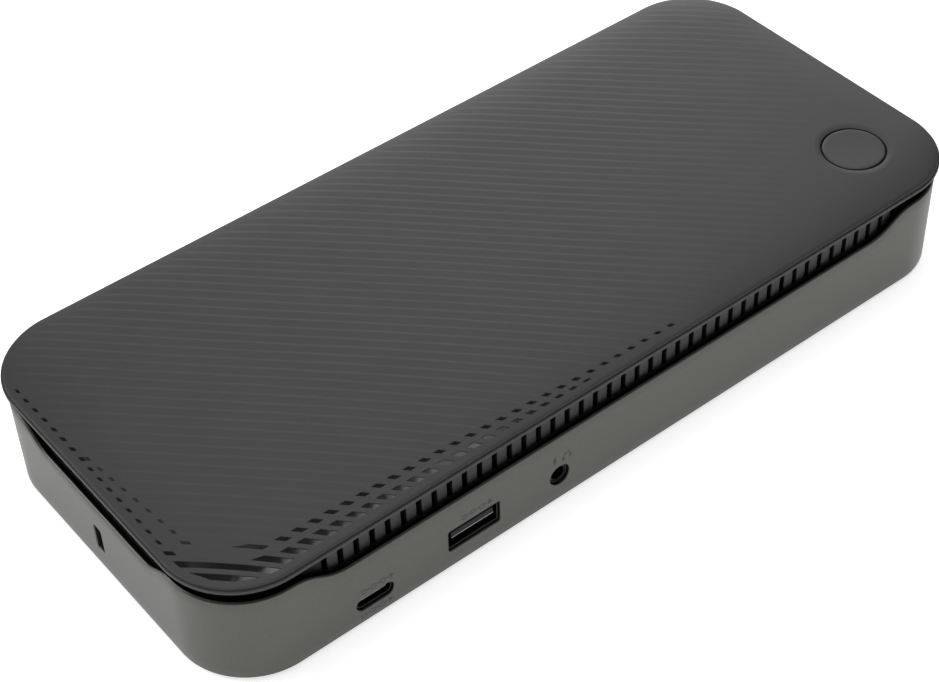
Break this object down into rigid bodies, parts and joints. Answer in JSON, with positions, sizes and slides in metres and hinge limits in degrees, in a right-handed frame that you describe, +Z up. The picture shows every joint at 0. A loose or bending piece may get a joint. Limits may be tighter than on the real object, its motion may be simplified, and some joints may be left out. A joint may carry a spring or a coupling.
{
  "type": "laptop docking station",
  "caption": "Flat round-cornered laptop docking station: ridged plastic lid, metal band with notched vents and sockets, sprung power button.",
  "frame": {"origin": "on the desk, under the middle of the object: the centre of the bounding box in X and Y, and the underside of the feet in Z", "axes": "+X along the length, to the right when facing the front sockets; +Y from the front to the rear; +Z up"},
  "size_m": [0.21, 0.093, 0.0306],
  "materials": {
    "lid_plastic": "matte, ridged",
    "vent_plastic": "matte",
    "band_metal": "gunmetal, fine bead-blasted satin",
    "black_plastic": "moulded black",
    "light_plastic": "moulded",
    "steel": "plated sheet steel",
    "rubber": "matte black rubber",
    "laminate": "green circuit board",
    "bare_aluminium": "plain",
    "gold_contact": "gold-plated contacts",
    "silicone": "soft thermal pad"
  },
  "bodies": {
    "base": {"top_cover": "lid_plastic", "vent_frame": "vent_plastic", "body_band": "band_metal", "base_plate": "black_plastic", "foot_1": "rubber", "foot_2": "rubber", "foot_3": "rubber", "foot_4": "rubber", "base_screw_1": "steel", "base_screw_2": "steel", "base_screw_3": "steel", "base_screw_4": "steel", "board_screw_1": "steel", "board_screw_2": "steel", "board_screw_3": "steel", "board_screw_4": "steel", "switch_screw_1": "steel", "switch_screw_2": "steel", "front_usb_c_shell": "steel", "front_usb_c_tongue": "black_plastic", "front_usb_a_shell": "steel", "front_usb_a_tongue": "black_plastic", "laptop_usb_c_shell": "steel", "laptop_usb_c_tongue": "black_plastic", "video_flat_1_shell": "steel", "video_flat_1_tongue": "black_plastic", "video_flat_2_shell": "steel", "video_flat_2_tongue": "black_plastic", "video_notched_1_shell": "steel", "video_notched_1_tongue": "black_plastic", "video_notched_2_shell": "steel", "video_notched_2_tongue": "black_plastic", "rear_usb_a_1_shell": "steel", "rear_usb_a_1_tongue": "black_plastic", "rear_usb_a_2_shell": "steel", "rear_usb_a_2_tongue": "black_plastic", "audio_jack_body": "black_plastic", "audio_jack_bush": "steel", "power_inlet_body": "black_plastic", "power_inlet_pin": "steel", "network_socket_shell": "steel", "network_socket_contacts": "gold_contact", "lock_slot_plate": "steel", "main_board": "laminate", "hub_chip": "black_plastic", "video_chip": "black_plastic", "network_chip": "black_plastic", "power_coil": "black_plastic", "thermal_pad": "silicone", "heat_sink": "bare_aluminium", "capacitor_1": "bare_aluminium", "capacitor_2": "bare_aluminium", "switch_board": "laminate", "switch_cable": "gold_contact", "switch_housing": "black_plastic", "button_dome": "rubber"},
    "power_button": {"power_button": "lid_plastic"},
    "switch_plunger": {"switch_plunger": "light_plastic"}
  },
  "joints": [
    {"name": "power_button_press", "type": "slide", "parent": "base", "child": "power_button", "axis": [0, 0, -1], "range_m": [0, 0.0006], "stiffness_N_per_m": 1500, "deforming": ["button_dome"]},
    {"name": "switch_plunger_press", "type": "slide", "parent": "base", "child": "switch_plunger", "axis": [0, 0, -1], "range_m": [0, 0.0006]}
  ],
  "couplings": [
    {"joint": "switch_plunger_press", "follows": "power_button_press", "ratio": 1}
  ]
}
